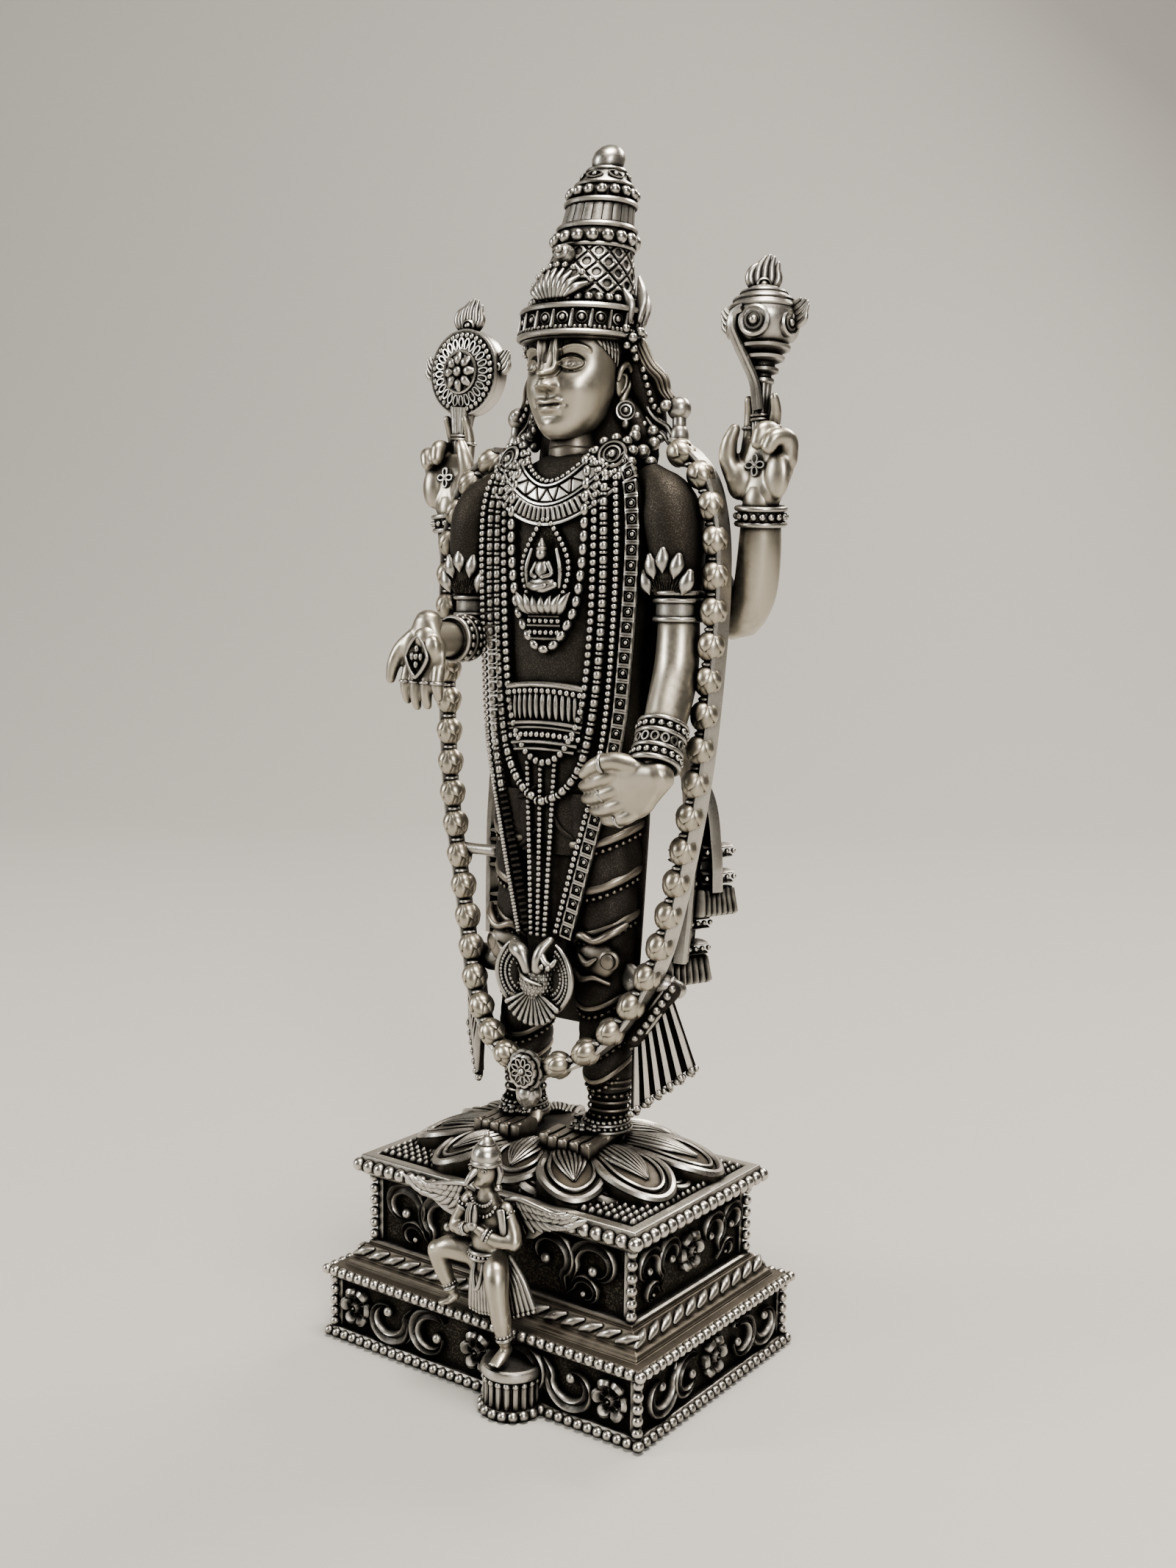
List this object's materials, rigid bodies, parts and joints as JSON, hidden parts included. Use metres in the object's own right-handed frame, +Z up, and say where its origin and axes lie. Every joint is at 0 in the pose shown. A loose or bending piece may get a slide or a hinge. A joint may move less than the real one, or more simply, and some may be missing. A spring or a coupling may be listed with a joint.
{
  "type": "vishnu figure",
  "caption": "Standing four-armed Vishnu in cast silver with tall crown, long garland, conch and discus, on a lotus seat and stepped rectangular plinth with a small kneeling Garuda in front.",
  "frame": {"origin": "middle of the underside of the plinth's lower tier", "axes": "+Z up through the figure, the figure and the plinth's front face -Y, +X is the figure's left"},
  "size_m": [0.0688, 0.0469, 0.1783],
  "materials": {
    "oxidised_silver": "antique silver: satin warm-grey highs, near-black oxidised recesses"
  },
  "bodies": {
    "root": {"plinth": "oxidised_silver", "vishnu_figure": "oxidised_silver", "flower_garland": "oxidised_silver", "garuda_figure": "oxidised_silver"}
  },
  "joints": []
}
